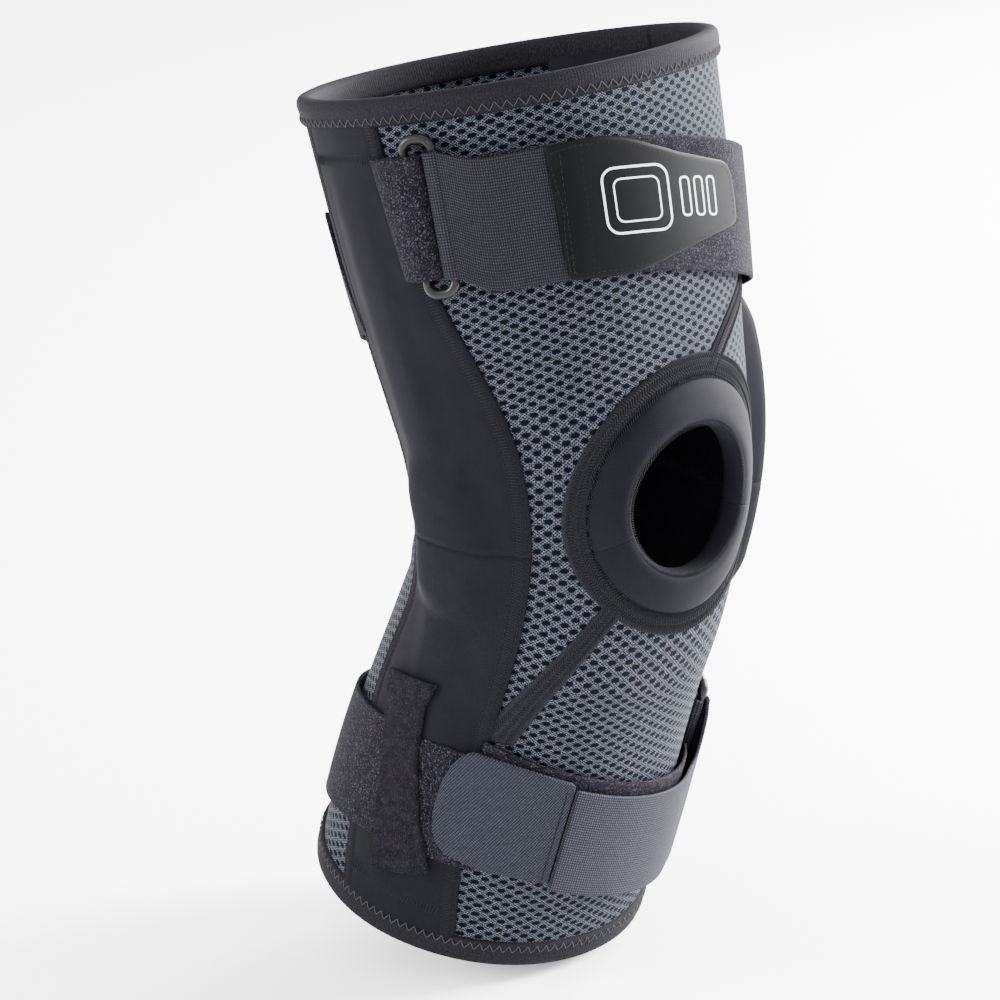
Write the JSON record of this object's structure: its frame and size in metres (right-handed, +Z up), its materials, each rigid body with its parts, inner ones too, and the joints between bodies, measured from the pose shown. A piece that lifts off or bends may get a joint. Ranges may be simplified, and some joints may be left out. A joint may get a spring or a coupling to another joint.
{
  "type": "hinged knee brace",
  "caption": "Knitted knee sleeve, open over the kneecap, with a geared hinge in each padded side panel and two wrap straps that close through rings.",
  "frame": {"origin": "centre of the knee opening, midway between the upper and lower hinge pins and between the two sides", "axes": "+X to the inner (medial) side of a right leg, along the hinge pins; +Y to the back of the leg; +Z up the leg"},
  "size_m": [0.1685, 0.1749, 0.3542],
  "materials": {
    "spacer_knit": "slate blue-grey warp-knitted spacer mesh with staggered oval holes",
    "neoprene": "near-black navy jersey laminated to neoprene, matte",
    "binding_tape": "black elastic binding tape with grey zigzag stitching",
    "loop_fabric": "black brushed loop pile",
    "elastic_webbing": "dark grey fine-ribbed elastic webbing",
    "hook_tape": "slate hook tape, rough",
    "rubber_tab": "smooth black moulded pull tab with a plain white line motif",
    "ring_plastic": "black acetal ring",
    "aluminium": "satin anodised bar",
    "nylon": "natural nylon washer",
    "steel": "turned rivet"
  },
  "bodies": {
    "thigh": {"thigh_front_mesh": "spacer_knit", "thigh_back_mesh": "spacer_knit", "lateral_thigh_cover": "neoprene", "lateral_thigh_lining": "neoprene", "medial_thigh_cover": "neoprene", "medial_thigh_lining": "neoprene", "top_binding": "binding_tape", "lateral_upper_arm": "aluminium", "medial_upper_arm": "aluminium", "upper_loop_strap": "loop_fabric", "upper_ring_chafe": "loop_fabric", "upper_strap_keeper": "loop_fabric"},
    "link_lateral": {"lateral_inner_plate": "aluminium", "lateral_outer_plate": "aluminium", "lateral_pivot_rivets": "steel", "lateral_pivot_washers": "nylon", "lateral_stop_pin": "steel", "knee_front_mesh": "spacer_knit", "knee_back_mesh": "spacer_knit", "patella_seam_tape": "binding_tape", "lateral_knee_cover": "neoprene", "lateral_knee_lining": "neoprene", "medial_knee_cover": "neoprene", "medial_knee_lining": "neoprene", "patella_buttress": "neoprene"},
    "link_medial": {"medial_inner_plate": "aluminium", "medial_outer_plate": "aluminium", "medial_pivot_rivets": "steel", "medial_pivot_washers": "nylon", "medial_stop_pin": "steel"},
    "shank": {"calf_front_mesh": "spacer_knit", "calf_back_mesh": "spacer_knit", "lateral_calf_cover": "neoprene", "lateral_calf_lining": "neoprene", "medial_calf_cover": "neoprene", "medial_calf_lining": "neoprene", "bottom_binding": "binding_tape", "lateral_lower_arm": "aluminium", "medial_lower_arm": "aluminium", "lower_loop_strap": "loop_fabric", "lower_ring_chafe": "loop_fabric", "lower_strap_keeper": "loop_fabric"},
    "upper_ring": {"upper_ring": "ring_plastic"},
    "upper_closure": {"upper_elastic_strap": "elastic_webbing", "upper_hook_patch": "hook_tape", "upper_pull_tab": "rubber_tab"},
    "lower_ring": {"lower_ring": "ring_plastic"},
    "lower_closure": {"lower_elastic_strap": "elastic_webbing", "lower_hook_tab": "hook_tape"}
  },
  "joints": [
    {"name": "upper_pivot_lateral", "type": "hinge", "parent": "thigh", "child": "link_lateral", "pos_m": [-0.0642, 0.00046, 0.01049], "axis": [1, 0, 0], "range_deg": [-15, 30], "deforming": ["knee_front_mesh", "knee_back_mesh", "patella_seam_tape", "lateral_knee_cover", "lateral_knee_lining", "medial_knee_cover", "medial_knee_lining"]},
    {"name": "lower_pivot_lateral", "type": "hinge", "parent": "link_lateral", "child": "shank", "pos_m": [-0.0642, -0.00046, -0.01049], "axis": [1, 0, 0], "range_deg": [-15, 30], "deforming": ["knee_front_mesh", "knee_back_mesh", "patella_seam_tape", "lateral_knee_cover", "lateral_knee_lining", "medial_knee_cover", "medial_knee_lining"]},
    {"name": "upper_pivot_medial", "type": "hinge", "parent": "thigh", "child": "link_medial", "pos_m": [0.0642, 0.00046, 0.01049], "axis": [1, 0, 0], "range_deg": [-15, 30]},
    {"name": "upper_ring_swivel", "type": "hinge", "parent": "thigh", "child": "upper_ring", "pos_m": [-0.08168, 0.00385, 0.12344], "axis": [0.0066, -0.2344, -0.9721], "range_deg": [0, 20]},
    {"name": "upper_closure_peel", "type": "hinge", "parent": "upper_ring", "child": "upper_closure", "pos_m": [-0.07806, -0.00604, 0.12585], "axis": [0.0066, -0.2344, -0.9721], "range_deg": [0, 70]},
    {"name": "lower_ring_swivel", "type": "hinge", "parent": "shank", "child": "lower_ring", "pos_m": [0.06522, 0.0027, -0.107], "axis": [-0.0117, -0.3362, 0.9417], "range_deg": [0, 20]},
    {"name": "lower_closure_peel", "type": "hinge", "parent": "lower_ring", "child": "lower_closure", "pos_m": [0.05975, -0.00605, -0.11019], "axis": [-0.0117, -0.3362, 0.9417], "range_deg": [0, 70]}
  ],
  "couplings": [
    {"joint": "lower_pivot_lateral", "follows": "upper_pivot_lateral", "ratio": 1},
    {"joint": "upper_pivot_medial", "follows": "upper_pivot_lateral", "ratio": 1}
  ]
}
